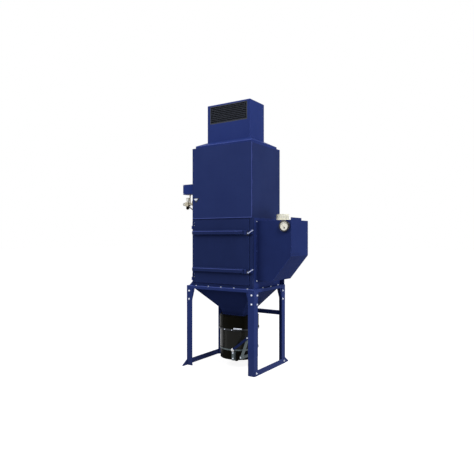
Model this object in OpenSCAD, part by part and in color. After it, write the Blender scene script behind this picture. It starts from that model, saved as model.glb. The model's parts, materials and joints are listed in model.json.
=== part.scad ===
/* [Housing] */
// Width of the housing
housing_width = 900; // [700:10:1200]
// Depth of the housing
housing_depth = 670; // [550:10:900]
// Height of the housing floor, where it stands on the flange
housing_base = 1012; // [900:2:1200]
// Height of the filter section
filter_height = 838; // [800:2:1000]
// Height of the clean-air section
plenum_height = 898; // [600:2:1100]
// Sheet thickness of the housing walls
wall = 5; // [3:1:8]

/* [Door] */
// Width of the right corner post beside the door
post_width = 40; // [30:2:60]
// Thickness of the access door
door_thickness = 30; // [20:2:40]
// Running gap round the door
door_gap = 5; // [5:0.5:8]
// Height of the door's lower edge above the housing floor
door_sill = 40; // [30:5:80]
// Height of a door bar
bar_height = 56; // [44:2:64]
// Height of the upper bar above the housing floor
upper_bar_rise = 666; // [600:2:700]
// Height of the lower bar above the housing floor
lower_bar_rise = 207; // [160:1:300]
// Rise of the latch levers above level
lever_angle = 30; // [20:1:45]
// Length of a latch lever from its pin to its grip
lever_length = 68; // [50:1:90]

/* [Frame] */
// Overhang of the support flange round the housing
flange_overhang = 51; // [40:1:70]
// Width of a leg angle
leg_width = 84; // [60:2:100]
// Plate thickness of legs, gussets and flange
plate = 8; // [6:1:12]
// Height of the side rails
rail_height = 65; // [40:1:90]
// Height of the rear rail above the floor
rear_rail_base = 612; // [400:2:700]
// Length of the toe of a leg
toe_length = 90; // [40:2:120]
// Diameter of the anchor hole in a foot plate
anchor_hole = 16; // [12:1:22]

/* [Drum] */
// Diameter of the dust drum
drum_diameter = 486; // [420:2:560]
// Sideways offset of the drum and hopper outlet
drum_offset = 45; // [0:5:80]
// Height of the top of the drum hood
hood_top = 650; // [620:2:700]
// Height of the seam at the clamp ring
clamp_height = 482; // [430:2:520]
// Height of the drum floor above the ground
drum_base = 244; // [200:2:260]
// Width of the hopper outlet
outlet_size = 290; // [240:5:320]

/* [Inlet] */
// Reach of the inlet box out from the housing
inlet_reach = 449; // [360:1:550]
// Depth of the inlet box
inlet_depth = 458; // [360:2:520]
// Outer diameter of the inlet spigot
spigot_diameter = 150; // [120:2:200]
// Height of the inlet spigot
spigot_height = 76; // [40:2:100]
// Diameter of the gauge
gauge_diameter = 118; // [80:2:140]

/* [Fan] */
// Width of the fan outlet box
fan_width = 640; // [500:10:700]
// Depth of the fan outlet box
fan_depth = 338; // [280:2:400]
// Height of the fan box above the roof
fan_height = 478; // [380:2:560]
// Number of louvre blades
blade_count = 9; // [5:1:14]

/* [Hidden] */
$fn = 64;
half_w = housing_width / 2;
half_d = housing_depth / 2;
plenum_base = housing_base + filter_height;
roof_base = plenum_base + plenum_height;
flange_x = half_w + flange_overhang;
flange_y = half_d + flange_overhang;
skirt_x = flange_x - plate;
skirt_y = flange_y - plate;
overlap = 1;

paint = [0.15, 0.18, 0.36];
dark_paint = [0.12, 0.14, 0.28];
black = [0.06, 0.06, 0.07];
steel = [0.75, 0.76, 0.78];
cream = [0.86, 0.84, 0.76];
paper = [0.88, 0.86, 0.80];
box_blue = [0.2, 0.3, 0.55];
ivory = [0.94, 0.94, 0.92];

// Which sub-part to show

// Helpers
module block(x0, x1, y0, y1, z0, z1) {
    translate([x0, y0, z0])
        cube([x1 - x0, y1 - y0, z1 - z0]);
}

module at_corner(side_x, side_y) {
    mirror([side_x < 0 ? 1 : 0, 0, 0])
        mirror([0, side_y < 0 ? 1 : 0, 0])
            children();
}

module tube(outer, inner, length) {
    difference() {
        cylinder(d = outer, h = length);
        translate([0, 0, -overlap])
            cylinder(d = inner, h = length + 2 * overlap);
    }
}

// Legs
skirt_height = 38;
foot_thickness = 10;
toe_height = 70;
toe_tip = 12;
foot_blunt = 6;
anchor_inset = 24;
leg_top = housing_base - skirt_height;
anchor_x = skirt_x - anchor_inset;
anchor_y = skirt_y - anchor_inset;

module leg(side_x, side_y, toe) {
    color(paint)
    at_corner(side_x, side_y)
    difference() {
        union() {
            block(flange_x - leg_width, flange_x, flange_y - plate, flange_y, 0, leg_top);
            block(flange_x - plate, flange_x, flange_y - leg_width, flange_y, 0, leg_top);
            linear_extrude(foot_thickness)
                polygon([[skirt_x + overlap, skirt_y + overlap], [flange_x - leg_width, skirt_y + overlap],
                    [flange_x - leg_width, skirt_y - foot_blunt], [skirt_x - foot_blunt, flange_y - leg_width],
                    [skirt_x + overlap, flange_y - leg_width]]);
            if (toe > 0)
                translate([flange_x - plate, flange_y - overlap, 0])
                    rotate([90, 0, 90])
                        linear_extrude(plate)
                            polygon([[0, 0], [toe, 0], [toe, toe_tip], [2 * overlap, toe_height],
                                [0, toe_height]]);
        }
        translate([anchor_x, anchor_y, -overlap])
            cylinder(d = anchor_hole, h = foot_thickness + 2 * overlap);
    }
}

module leg_front_left() { leg(-1, -1, toe_length); }
module leg_front_right() { leg(1, -1, 0); }
module leg_rear_left() { leg(-1, 1, toe_length); }
module leg_rear_right() { leg(1, 1, toe_length); }

// Gusset plates inside the leg tops
gusset_drop = 195;
gusset_top_width = 104;
gusset_low_width = 64;
gusset_shoulder = 48;

module gusset_profile() {
    polygon([[0, 0], [-gusset_top_width, 0], [-gusset_top_width, -gusset_shoulder],
        [-gusset_low_width, -gusset_drop], [0, -gusset_drop]]);
}

module gusset(side_x, side_y) {
    color(dark_paint)
    at_corner(side_x, side_y)
    translate([0, 0, housing_base - plate]) {
        translate([skirt_x, skirt_y, 0])
            rotate([90, 0, 0])
                linear_extrude(plate)
                    gusset_profile();
        translate([skirt_x - plate, skirt_y, 0])
            rotate([90, 0, 90])
                linear_extrude(plate)
                    gusset_profile();
    }
}

module gusset_front_left() { gusset(-1, -1); }
module gusset_front_right() { gusset(1, -1); }
module gusset_rear_left() { gusset(-1, 1); }
module gusset_rear_right() { gusset(1, 1); }

// Rails between the legs
rail_plate = 6;
rail_lip = 36;
rail_set_back = 6;
rail_end_gap = 2;
rear_rail_height = 58;

module side_rails() {
    rail_reach = flange_y - rail_set_back;
    color(paint)
    for (side = [-1, 1])
        at_corner(side, 1)
            block(flange_x, flange_x + rail_plate, -rail_reach, rail_reach, 0, rail_height);
}

module rear_rail() {
    top = rear_rail_base + rear_rail_height;
    rail_reach = flange_x - rail_set_back;
    lip_reach = flange_x - leg_width - rail_end_gap;
    color(paint) {
        block(-rail_reach, rail_reach, flange_y, flange_y + rail_plate, rear_rail_base, top);
        block(-lip_reach, lip_reach, flange_y - rail_lip, flange_y + overlap, top - rail_plate, top);
    }
}

// Flange that carries the housing, with its brackets
flange_land = 20;

module support_flange() {
    low = housing_base - skirt_height;
    color(paint)
    difference() {
        block(-flange_x, flange_x, -flange_y, flange_y, low, housing_base);
        block(-skirt_x, skirt_x, -skirt_y, skirt_y, low - overlap, housing_base - plate);
        block(-half_w + flange_land, half_w - flange_land, -half_d + flange_land, half_d - flange_land,
            low, housing_base + overlap);
    }
}

bracket_size = 48;
bracket_height = 65;
bracket_inset = 20;
bracket_y = half_d + 31;

module base_brackets() {
    color(paint) {
        for (y = [-half_d + plate, half_d])
            translate([-half_w, y, housing_base])
                rotate([90, 0, 0])
                    linear_extrude(plate)
                        polygon([[0, 0], [-bracket_size, 0], [0, bracket_size]]);
        block(half_w - bracket_inset, half_w + bracket_size, bracket_y, bracket_y + plate,
            housing_base, housing_base + bracket_height);
    }
}

// Hopper
hopper_wall = 4;
hopper_rim = 12;
hopper_knee = 82;
hopper_knee_size = outlet_size + 64;
outlet_flange = 14;
outlet_plate = 5;

module hopper_section(top_width, top_depth, top_shift, top, low_size, low) {
    hull() {
        translate([top_shift, 0, top - overlap])
            linear_extrude(overlap)
                square([top_width, top_depth], center = true);
        translate([drum_offset, 0, low])
            linear_extrude(overlap)
                square(low_size, center = true);
    }
}

module hopper_solid(inset) {
    rim = 2 * (hopper_rim - inset);
    hopper_section(housing_width + rim, housing_depth + rim, 0,
        housing_base - plate, hopper_knee_size - 2 * inset, hood_top + hopper_knee);
    hopper_section(hopper_knee_size - 2 * inset, hopper_knee_size - 2 * inset, drum_offset,
        hood_top + hopper_knee + overlap, outlet_size - 2 * inset, hood_top);
}

module hopper() {
    mouth = outlet_size / 2 - hopper_wall;
    top_x = half_w + hopper_rim - hopper_wall;
    top_y = half_d + hopper_rim - hopper_wall;
    color(dark_paint)
    difference() {
        union() {
            hopper_solid(0);
            translate([drum_offset, 0, hood_top + outlet_plate / 2])
                cube([outlet_size + 2 * outlet_flange, outlet_size + 2 * outlet_flange, outlet_plate],
                    center = true);
        }
        hopper_solid(hopper_wall);
        block(drum_offset - mouth, drum_offset + mouth, -mouth, mouth, hood_top - overlap, hood_top + overlap);
        block(-top_x, top_x, -top_y, top_y, housing_base - plate - overlap, housing_base);
    }
}

// Drum
drum_wall = 3;
drum_radius = drum_diameter / 2;
hood_radius = drum_radius + 6;
hood_shoulder = 12;
hood_cover = 5;
ring_height = 22;
ring_radius = hood_radius + 8;

module drum_hood() {
    height = hood_top - clamp_height;
    color(black)
    translate([drum_offset, 0, clamp_height])
    difference() {
        union() {
            cylinder(r = hood_radius, h = height - hood_shoulder);
            cylinder(r = hood_radius - hood_shoulder / 2, h = height);
        }
        translate([0, 0, -overlap])
            cylinder(r = hood_radius - hood_shoulder, h = height - hood_cover + overlap);
        cylinder(d = outlet_size - 2 * hopper_wall, h = height + overlap);
    }
}

module dust_drum() {
    color(black)
    translate([drum_offset, 0, drum_base])
    difference() {
        cylinder(r = drum_radius, h = clamp_height - drum_base);
        translate([0, 0, drum_wall])
            cylinder(r = drum_radius - drum_wall, h = clamp_height);
    }
}

clamp_pin = 8;
clamp_running = 0.1;
clamp_pin_offset = 90;
clamp_pin_radius = ring_radius + 14;
clamp_angle = asin(clamp_pin_offset / clamp_pin_radius);
clamp_lever_length = 92;
clamp_lever_height = 16;
clamp_lever_thickness = 6;
clamp_boss = 20;

// Local frame of the clamp pin, with X along the ring
module at_clamp_pin(z) {
    translate([drum_offset, 0, z])
        rotate([0, 0, clamp_angle])
            translate([0, -clamp_pin_radius, 0])
                children();
}

module clamp_ring() {
    low = clamp_height - ring_height / 2;
    color(steel)
    difference() {
        union() {
            translate([drum_offset, 0, low])
                difference() {
                    cylinder(r = ring_radius, h = ring_height);
                    translate([0, 0, -overlap])
                        cylinder(r = drum_radius, h = ring_height / 2 + overlap);
                    translate([0, 0, ring_height / 2])
                        cylinder(r = hood_radius, h = ring_height);
                }
            at_clamp_pin(low) {
                cylinder(d = clamp_boss, h = ring_height);
                translate([-clamp_pin, clamp_pin / 2, overlap])
                    cube([2 * clamp_pin, 14, ring_height - 2 * overlap]);
            }
        }
        at_clamp_pin(low - overlap)
            cylinder(d = clamp_pin + clamp_running, h = ring_height + 2 * overlap);
    }
}

module clamp_lever() {
    top = clamp_height + ring_height / 2;
    color(steel)
    at_clamp_pin(top) {
        translate([0, 0, -ring_height])
            cylinder(d = clamp_pin, h = ring_height + 2 * overlap);
        translate([0, 0, overlap])
            cylinder(d = clamp_boss - 2, h = clamp_lever_height);
        translate([clamp_pin / 2, -clamp_lever_thickness / 2, 2 * overlap])
            cube([clamp_lever_length, clamp_lever_thickness, clamp_lever_height - 2 * overlap]);
    }
}

// Dolly under the drum
dolly_low = 112;
dolly_ring = 18;
dolly_ring_lip = 4;
dolly_wall = 4;
dolly_plate = 6;
castor_clear = 78;
castor_diameter = 75;
castor_width = 24;
castor_circle = 150;
castor_turn = 20;
castor_side_gap = 1.5;
castor_plate = 56;
castor_plate_thickness = 4;
castor_axle = 8;
castor_running = 0.2;
fork_plate = 3;
fork_shoulder = 20;
fork_end = 9;
fork_trail = 14;

module dolly_ring() {
    color(cream)
    translate([drum_offset, 0, drum_base - dolly_ring])
        cylinder(r = drum_radius + dolly_ring_lip, h = dolly_ring);
}

module drum_dolly() {
    radius = drum_radius - dolly_ring_lip;
    height = drum_base - dolly_ring - dolly_low;
    color(black)
    translate([drum_offset, 0, dolly_low])
    difference() {
        cylinder(r = radius, h = height);
        translate([0, 0, -overlap])
            cylinder(r = radius - dolly_wall, h = height - dolly_plate + overlap);
    }
}

// Places its children at each castor's axle, with X along its rolling direction
module at_castors() {
    for (angle = [castor_turn : 90 : castor_turn + 270])
        translate([drum_offset, 0, castor_clear + castor_diameter / 2])
            rotate([0, 0, angle])
                translate([castor_circle, 0, 0])
                    rotate([0, 0, 90])
                        children();
}

module castor_forks() {
    rise = drum_base - dolly_ring - dolly_plate - castor_clear - castor_diameter / 2;
    inner = castor_width / 2 + castor_side_gap;
    color(steel)
    at_castors() {
        block(-castor_plate / 2 - fork_trail, castor_plate / 2 - fork_trail, -castor_plate / 2, castor_plate / 2,
            rise - castor_plate_thickness, rise);
        for (side = [0, 1])
            mirror([0, side, 0])
                translate([0, inner + fork_plate, 0])
                    rotate([90, 0, 0])
                        linear_extrude(fork_plate)
                            polygon([[-fork_end, -fork_end], [fork_end, -fork_end],
                                [fork_shoulder - fork_trail, rise - overlap],
                                [-fork_shoulder - fork_trail, rise - overlap]]);
        translate([0, inner + fork_plate + overlap, 0])
            rotate([90, 0, 0])
                cylinder(d = castor_axle, h = 2 * (inner + fork_plate + overlap));
    }
}

module castor_wheels() {
    color(black)
    at_castors()
        translate([0, castor_width / 2, 0])
            rotate([90, 0, 0])
                tube(castor_diameter, castor_axle + castor_running, castor_width);
}

// Lift linkage in front of the drum
link_y = -drum_radius - 14;
grip_out = 49;
grip_drop = 68;
link_foot_in = 53;
link_foot_drop = 99;
knob_out = 74;
knob_drop = 2;
link_grip = [drum_offset + drum_radius + grip_out, clamp_height - grip_drop];
link_foot = [drum_offset + drum_radius - link_foot_in, drum_base - link_foot_drop];
knob_point = [drum_offset + knob_out, drum_base - knob_drop];
link_width = 34;
lever_width = 28;
link_thickness = 8;
link_end = 12;
knob_diameter = 44;
knob_seat = 14;
stay_width = 36;
lever_gap = 0.3;
lever_front = link_y - link_thickness - lever_gap;
knob_y = lever_front + link_thickness / 2;

// Turns Z along the line between two points of the XZ plane
module along(from, to, y) {
    run = to - from;
    translate([from[0], y, from[1]])
        rotate([0, atan2(run[0], run[1]), 0])
            children();
}

// Flat bar that starts at a distance from its first point and runs past its second
module flat_bar(from, to, y, width, start = 0) {
    along(from, to, y)
        translate([-width / 2, 0, start])
            cube([width, link_thickness, norm(to - from) + link_end - start]);
}

module lift_links() {
    dolly_body = drum_radius - dolly_ring_lip;
    color(steel)
    difference() {
        union() {
            flat_bar(link_foot, link_grip, link_y, link_width);
            block(link_foot[0] - link_width / 2, link_foot[0] + link_width / 2, link_y + overlap, -dolly_body / 2,
                link_foot[1], link_foot[1] + link_width);
            block(knob_point[0] - stay_width / 2, knob_point[0] + stay_width / 2, link_y, -dolly_body / 2,
                dolly_low, drum_base - dolly_ring - link_end / 2);
        }
        translate([drum_offset, 0, 0])
            cylinder(r = dolly_body + 0.3, h = drum_base - dolly_ring);
    }
}

module lift_lever() {
    color(paint) {
        flat_bar(knob_point, link_grip, lever_front, lever_width, knob_seat + lever_gap);
        translate([link_grip[0], link_y - lever_gap - overlap, link_grip[1]])
            rotate([90, 0, 0])
                cylinder(d = link_width + 6, h = link_thickness + 6);
    }
}

module lever_knob() {
    color(ivory)
    along(knob_point, link_grip, knob_y)
    difference() {
        sphere(d = knob_diameter);
        block(-knob_diameter, knob_diameter, -knob_diameter, knob_diameter, knob_seat, knob_diameter);
    }
}

// Filter housing
frame_depth = 35;

module left_wall() {
    color(paint)
        block(-half_w, -half_w + wall, -half_d + frame_depth, half_d, housing_base, plenum_base);
}

inlet_setback = 97;
inlet_mid_y = -half_d + inlet_setback + inlet_depth / 2;
inlet_rise = 96;
inlet_low = housing_base + inlet_rise;
inlet_top = plenum_base - 29;
inlet_slope = 296;
inlet_vertical = inlet_low + inlet_slope;
port_width = 320;
port_height = 420;
port_base = inlet_low + 60;

module right_wall() {
    color(paint)
    difference() {
        block(half_w - wall, half_w, -half_d + frame_depth, half_d, housing_base, plenum_base);
        block(half_w - wall - overlap, half_w + overlap,
            inlet_mid_y - port_width / 2, inlet_mid_y + port_width / 2, port_base, port_base + port_height);
    }
}

module rear_wall() {
    color(paint)
        block(-half_w + wall, half_w - wall, half_d - wall, half_d, housing_base, plenum_base);
}

frame_left = 10;
frame_lip = 40;
head_rail = 6;
door_proud = 8;
door_left = -half_w + frame_left + door_gap;
door_right = half_w - post_width - door_gap;
door_low = housing_base + door_sill;
door_top = plenum_base - head_rail - door_gap;
door_front = -half_d - door_proud;
door_back = door_front + door_thickness;

module front_frame() {
    color(paint)
    difference() {
        block(-half_w, half_w, -half_d, -half_d + frame_depth, housing_base, plenum_base);
        block(door_left - door_gap, door_right + door_gap, -half_d - overlap, door_back + door_gap,
            door_low - door_gap, door_top + door_gap);
        block(door_left + frame_lip, door_right - frame_lip, -half_d - overlap, -half_d + frame_depth + overlap,
            door_low + frame_lip, door_top - frame_lip);
    }
}

// Cartridges
sheet_plate = 6;
cartridge_rim = 14;
cartridge_neck = 50;
cartridge_gap = 35;
cartridge_room = 238;
cartridge_diameter = min(housing_depth - frame_depth - wall, housing_width) / 2 - cartridge_gap;
cartridge_length = filter_height - cartridge_room;
cartridge_x = housing_width * 0.228;
cartridge_mid_y = (frame_depth - wall) / 2;
cartridge_y = cartridge_diameter / 2 + 10;
cartridge_floor = 20;

module tube_sheet() {
    color(steel)
    difference() {
        block(-half_w + wall, half_w - wall, -half_d + frame_depth, half_d - wall,
            plenum_base - sheet_plate, plenum_base);
        for (x = [-cartridge_x, cartridge_x])
            for (y = [-cartridge_y, cartridge_y])
                translate([x, y + cartridge_mid_y, plenum_base - sheet_plate - overlap])
                    cylinder(d = cartridge_diameter - 2 * cartridge_neck, h = sheet_plate + 2 * overlap);
    }
}

module filter_cartridge(side_x, side_y) {
    color(paper)
    translate([side_x * cartridge_x, side_y * cartridge_y + cartridge_mid_y,
        plenum_base - sheet_plate - cartridge_length])
    difference() {
        union() {
            cylinder(d = cartridge_diameter - cartridge_rim, h = cartridge_length);
            cylinder(d = cartridge_diameter, h = cartridge_rim);
            translate([0, 0, cartridge_length - cartridge_rim])
                cylinder(d = cartridge_diameter, h = cartridge_rim);
        }
        translate([0, 0, cartridge_floor])
            cylinder(d = cartridge_diameter - 2 * cartridge_neck, h = cartridge_length);
    }
}

module filter_cartridge_1() { filter_cartridge(-1, -1); }
module filter_cartridge_2() { filter_cartridge(1, -1); }
module filter_cartridge_3() { filter_cartridge(-1, 1); }
module filter_cartridge_4() { filter_cartridge(1, 1); }

// Door and its hinges
hinge_pin = 8;
hinge_running = 0.1;
hinge_barrel = 14;
hinge_length = 90;
hinge_half = hinge_length / 2;
hinge_leaf = 3;
hinge_leaf_reach = 26;
hinge_foot = 12;
hinge_tab = 4;
hinge_margin = 24;
hinge_x = door_left + 5;
hinge_y = door_front - hinge_barrel / 2 - overlap;
hinge_heights = [door_low + hinge_margin, door_top - hinge_margin - hinge_length];

module access_door() {
    color(paint) {
        block(door_left, door_right, door_front, door_back, door_low, door_top);
        for (z = hinge_heights)
            difference() {
                union() {
                    translate([hinge_x, hinge_y, z + hinge_half])
                        cylinder(d = hinge_barrel, h = hinge_half);
                    block(hinge_x, hinge_x + hinge_leaf_reach, door_front - hinge_leaf, door_front + overlap,
                        z + hinge_half, z + hinge_length);
                }
                translate([hinge_x, hinge_y, z + hinge_half - overlap])
                    cylinder(d = hinge_pin + hinge_running, h = hinge_half + 2 * overlap);
            }
    }
}

module door_hinges() {
    color(steel)
    for (z = hinge_heights) {
        translate([hinge_x, hinge_y, z])
            cylinder(d = hinge_pin, h = hinge_length);
        translate([hinge_x, hinge_y, z])
            cylinder(d = hinge_barrel, h = hinge_half - overlap);
        block(-half_w, -half_w + hinge_foot, hinge_y - hinge_tab / 2, -half_d,
            z + overlap, z + hinge_half - 2 * overlap);
        block(-half_w + overlap, hinge_x - hinge_pin / 4, hinge_y - hinge_tab / 2, hinge_y + hinge_tab / 2,
            z + overlap, z + hinge_half - 2 * overlap);
    }
}

// Bars and latches
bar_depth = 40;
bar_face = 38;
bar_left = door_left + 16;
latch_room = 68;
bar_right = door_right - latch_room;
latch_base_depth = 20;
latch_base_half = 17;
latch_base_end = 11;
latch_drop = 12;
lever_pin_x = door_right + 7;
lever_pin = 10;
lever_running = 0.1;
lever_stand_off = 5;
lever_back = door_front - latch_base_depth - lever_stand_off;
lever_thickness = 10;
lever_hub = 18;
lever_bar = 11;
lever_grip = 18;

module door_bar(rise) {
    pin_z = housing_base + rise - latch_drop;
    color(paint)
    difference() {
        union() {
            translate([bar_left, door_front, housing_base + rise])
                rotate([90, 0, 90])
                    linear_extrude(bar_right - bar_left)
                        polygon([[0, -bar_height / 2], [0, bar_height / 2],
                            [-bar_depth, bar_face / 2], [-bar_depth, -bar_face / 2]]);
            block(bar_right - overlap, lever_pin_x + latch_base_end, door_front - latch_base_depth, door_front,
                pin_z - latch_base_half, pin_z + latch_base_half);
        }
        translate([lever_pin_x, door_front, pin_z])
            rotate([90, 0, 0])
                cylinder(d = lever_pin + lever_running, h = latch_base_depth + overlap);
    }
}

module door_bar_upper() { door_bar(upper_bar_rise); }
module door_bar_lower() { door_bar(lower_bar_rise); }

module latch_lever(rise) {
    pin_depth = latch_base_depth - 6;
    color(steel)
    translate([lever_pin_x, lever_back, housing_base + rise - latch_drop])
    rotate([90, 0, 0]) {
        cylinder(d = lever_hub, h = lever_thickness);
        translate([0, 0, -lever_stand_off - pin_depth])
            cylinder(d = lever_pin, h = lever_stand_off + pin_depth + overlap);
        rotate([0, 0, lever_angle]) {
            translate([lever_hub / 4, -lever_bar / 2, overlap])
                cube([lever_length - lever_hub / 2, lever_bar, lever_thickness - 2 * overlap]);
            translate([lever_length, 0, 0])
                cylinder(d = lever_grip, h = lever_thickness);
        }
    }
}

module latch_lever_upper() { latch_lever(upper_bar_rise); }
module latch_lever_lower() { latch_lever(lower_bar_rise); }

keeper_gap = 6;
keeper_width = 17;
keeper_inset = 3;
keeper_rise = 34;
keeper_fall = 20;

module latch_keepers() {
    right = half_w - keeper_inset;
    color(paint)
    for (rise = [upper_bar_rise, lower_bar_rise])
        block(right - keeper_width, right, lever_back + keeper_gap, -half_d,
            housing_base + rise - keeper_fall, housing_base + rise + keeper_rise);
}

// Clean-air section
panel_margin = 9;
panel_proud = 6;
panel_seam = 5;

module plenum_housing() {
    color(paint)
        block(-half_w, half_w, -half_d, half_d, plenum_base, roof_base);
}

module upper_panel() {
    color(paint)
        block(-half_w + panel_margin, half_w - panel_margin, -half_d - panel_proud, -half_d,
            plenum_base + panel_seam, roof_base - panel_seam);
}

latch_width = 62;
latch_height = 36;
latch_depth = 12;
latch_rise = 259;

module panel_latch() {
    color(steel)
    translate([-half_w + 4 * panel_margin, -half_d - panel_proud, plenum_base + latch_rise])
    rotate([90, 0, 0])
    linear_extrude(latch_depth)
        polygon([[0, 0], [latch_width, 0], [latch_width / 2, -latch_height]]);
}

roof_inset = 30;
roof_lip = 34;
roof_rise = 82;
roof_collar = 10;
fan_setback = 150;
fan_front = -half_d + fan_setback;
fan_back = fan_front + fan_depth;

module roof_cap() {
    color(paint) {
        block(-half_w + roof_inset, half_w - roof_inset, -half_d + roof_inset, half_d - roof_inset,
            roof_base, roof_base + roof_lip);
        hull() {
            block(-half_w + roof_inset, half_w - roof_inset, -half_d + roof_inset, half_d - roof_inset,
                roof_base + roof_lip - overlap, roof_base + roof_lip);
            block(-fan_width / 2 - roof_collar, fan_width / 2 + roof_collar, fan_front - roof_collar,
                fan_back + roof_collar, roof_base + roof_rise - overlap, roof_base + roof_rise);
        }
    }
}

// Fan box and louvre
grille_side = 40;
grille_drop = 18;
grille_height = 224;
grille_depth = 40;
grille_rim = 10;
blade_depth = 30;
blade_thickness = 4;
blade_tilt = 35;
grille_half = fan_width / 2 - grille_side;
fan_base = roof_base + roof_rise;
fan_top = fan_base + fan_height;
grille_low = fan_top - grille_drop - grille_height;

module fan_box() {
    color(paint)
    difference() {
        block(-fan_width / 2, fan_width / 2, fan_front, fan_back, fan_base, fan_top);
        block(-grille_half, grille_half, fan_front - overlap, fan_front + grille_depth,
            grille_low, grille_low + grille_height);
    }
}

module outlet_grille() {
    inner_low = grille_low + grille_rim;
    pitch = (grille_height - 2 * grille_rim) / blade_count;
    color(black) {
        difference() {
            block(-grille_half, grille_half, fan_front, fan_front + grille_depth,
                grille_low, grille_low + grille_height);
            block(-grille_half + grille_rim, grille_half - grille_rim, fan_front - overlap,
                fan_front + grille_depth - grille_rim / 2, inner_low, grille_low + grille_height - grille_rim);
        }
        for (k = [0 : blade_count - 1])
            translate([-grille_half + grille_rim / 2, fan_front + blade_thickness, inner_low + (k + 0.1) * pitch])
                rotate([blade_tilt, 0, 0])
                    cube([2 * grille_half - grille_rim, blade_depth, blade_thickness]);
    }
}

// Inlet box
inlet_wall = 4;
inlet_foot = inlet_reach * 0.47;
cover_plate = 6;
cover_rise = 28;
cover_depth = inlet_depth * 0.58;
mount_strip = 27;
mount_plate = 4;
inlet_front_y = inlet_mid_y - inlet_depth / 2;
inlet_back_y = inlet_mid_y + inlet_depth / 2;

module inlet_profile(inset) {
    out = inlet_reach - inset;
    polygon([[0, inlet_top - inset], [out, inlet_top - inset], [out, inlet_vertical + inset / 2],
        [inlet_foot - inset / 2, inlet_low + inset], [0, inlet_low + inset]]);
}

module inlet_box() {
    color(paint)
    difference() {
        union() {
            translate([half_w, inlet_back_y, 0])
                rotate([90, 0, 0])
                    linear_extrude(inlet_depth)
                        inlet_profile(0);
            block(half_w + inlet_reach - overlap, half_w + inlet_reach + cover_plate, inlet_front_y,
                inlet_front_y + cover_depth, inlet_vertical + cover_rise, inlet_top + cover_rise);
            block(half_w, half_w + mount_plate, inlet_front_y - mount_strip, inlet_back_y + mount_strip,
                inlet_low - mount_strip, inlet_top);
        }
        translate([half_w, inlet_back_y - inlet_wall, 0])
            rotate([90, 0, 0])
                linear_extrude(inlet_depth - 2 * inlet_wall)
                    inlet_profile(inlet_wall);
        block(half_w - overlap, half_w + overlap, inlet_front_y + inlet_wall, inlet_back_y - inlet_wall,
            inlet_low + inlet_wall, inlet_top - inlet_wall);
        translate([half_w + inlet_reach / 2, inlet_mid_y, inlet_top - 2 * inlet_wall])
            cylinder(d = spigot_diameter - 2 * spigot_wall, h = 4 * inlet_wall);
    }
}

spigot_wall = 3;

module inlet_spigot() {
    color(cream)
    translate([half_w + inlet_reach / 2, inlet_mid_y, inlet_top])
        tube(spigot_diameter, spigot_diameter - 2 * spigot_wall, spigot_height);
}

gauge_side = 75;
gauge_drop = 70;
gauge_x = half_w + inlet_reach - gauge_side;
gauge_z = inlet_top - gauge_drop;
gauge_depth = 30;
gauge_bezel = 7;
gauge_recess = 8;

module gauge_case() {
    color(black)
    translate([gauge_x, inlet_front_y, gauge_z])
    rotate([90, 0, 0])
    difference() {
        cylinder(d = gauge_diameter, h = gauge_depth);
        translate([0, 0, gauge_depth - gauge_recess])
            cylinder(d = gauge_diameter - 2 * gauge_bezel, h = gauge_recess + overlap);
    }
}

module gauge_dial() {
    color(cream)
    translate([gauge_x, inlet_front_y - gauge_depth + gauge_recess, gauge_z])
    rotate([90, 0, 0])
        cylinder(d = gauge_diameter - 2 * gauge_bezel - 1, h = 2);
}

// Control box on the left side
control_reach = 180;
control_setback = 30;
control_depth = 100;
control_height = 128;
control_rise = 326;

module control_box() {
    color(box_blue)
        block(-half_w - control_reach, -half_w, -half_d + control_setback,
            -half_d + control_setback + control_depth, plenum_base + control_rise,
            plenum_base + control_rise + control_height);
}

// Air regulator under the control box
regulator_reach = 122;
regulator_size = 52;
regulator_setback = 55;
regulator_rise = 200;
pipe_diameter = 16;
riser_reach = 84;
tee_size = 24;
stub_diameter = 12;
meter_reach = 176;
meter_diameter = 38;
meter_depth = 16;
wall_plate = 6;
wall_plate_width = 60;
wall_plate_height = 90;
cap_diameter = 44;
cap_height = 60;
cap_neck = 14;
cap_neck_diameter = 30;
bowl_diameter = 40;
bowl_height = 38;
drain_diameter = 12;
drain_height = 8;
regulator_y = -half_d + regulator_setback;
regulator_z = plenum_base + regulator_rise;

module air_regulator() {
    half = regulator_size / 2;
    color(steel)
    translate([-half_w, regulator_y, regulator_z]) {
        block(-regulator_reach - half, -regulator_reach + half, -half, half, -half, half);
        rotate([0, -90, 0])
            cylinder(d = pipe_diameter, h = regulator_reach - half + 2 * overlap);
        block(-riser_reach - tee_size / 2, -riser_reach + tee_size / 2, -tee_size / 2, tee_size / 2,
            -tee_size / 2, tee_size / 2);
        translate([-riser_reach, 0, tee_size / 2 - overlap])
            cylinder(d = pipe_diameter, h = control_rise - regulator_rise - tee_size / 2 + overlap);
        block(-wall_plate, 0, -wall_plate_width / 2, wall_plate_width / 2,
            -wall_plate_height / 2, wall_plate_height / 2);
        translate([-regulator_reach - half + overlap, 0, 0])
            rotate([0, -90, 0])
                cylinder(d = stub_diameter, h = meter_reach - regulator_reach - half);
        translate([-meter_reach, meter_depth / 2, 0])
            rotate([90, 0, 0])
                cylinder(d = meter_diameter, h = meter_depth);
    }
}

module regulator_cap() {
    color(ivory)
    translate([-half_w - regulator_reach, regulator_y, regulator_z + regulator_size / 2]) {
        cylinder(d = cap_neck_diameter, h = cap_neck + overlap);
        translate([0, 0, cap_neck])
            cylinder(d = cap_diameter, h = cap_height - cap_neck);
    }
}

module regulator_bowl() {
    color(black)
    translate([-half_w - regulator_reach, regulator_y, regulator_z - regulator_size / 2 - bowl_height]) {
        cylinder(d = bowl_diameter, h = bowl_height);
        translate([0, 0, -drain_height])
            cylinder(d = drain_diameter, h = drain_height + overlap);
    }
}

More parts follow.
